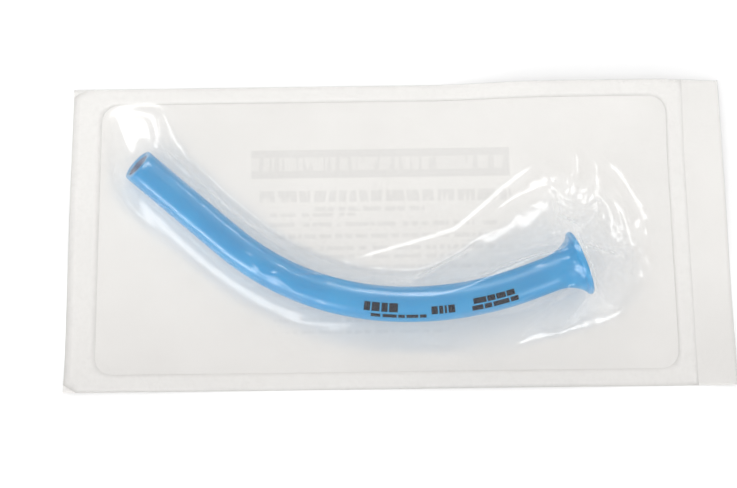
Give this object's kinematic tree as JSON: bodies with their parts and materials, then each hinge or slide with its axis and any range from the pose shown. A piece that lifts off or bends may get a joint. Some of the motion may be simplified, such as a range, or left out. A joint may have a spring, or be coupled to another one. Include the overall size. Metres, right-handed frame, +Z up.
{
  "type": "nasopharyngeal airway in peel pouch",
  "caption": "Curved soft tube with a trumpet flange and a bevelled open tip, sealed between a paper backing and a clear film that peels off.",
  "frame": {"origin": "centre of the underside of the flat pouch, which rests on the table", "axes": "+X along the pouch's length, from the airway's tip towards its flange and the end where the peel starts; +Y across the pouch, towards the side that the tip points to; +Z up, through the film"},
  "size_m": [0.19, 0.09, 0.0195],
  "materials": {
    "paper": "matt medical paper",
    "seal_lacquer": "thin heat-seal coating",
    "clear_film": "clear glossy film",
    "soft_blue_plastic": "soft PVC, satin",
    "black_ink": "pad-printed ink",
    "label_ink": "label print"
  },
  "bodies": {
    "backing": {"paper_backing": "paper", "seal_band": "seal_lacquer", "label_title_bar": "label_ink", "label_size_line": "label_ink", "label_text_lines": "label_ink", "label_small_print": "label_ink"},
    "film": {"clear_film": "clear_film"},
    "airway": {"airway_tip": "soft_blue_plastic", "airway_shaft": "soft_blue_plastic", "airway_flange": "soft_blue_plastic", "tip_side_print": "black_ink", "size_print": "black_ink", "flange_side_print": "black_ink"}
  },
  "joints": [
    {"name": "film_peel", "type": "hinge", "parent": "backing", "child": "film", "pos_m": [-0.095, 0, 0.00018], "axis": [0, -1, 0], "range_deg": [0, 140]},
    {"name": "airway_lift", "type": "slide", "parent": "backing", "child": "airway", "axis": [0, 0, 1], "range_m": [0, 0.0282]}
  ],
  "couplings": [
    {"joint": "airway_lift", "follows": "film_peel", "m_per_rad": 0.0115}
  ]
}
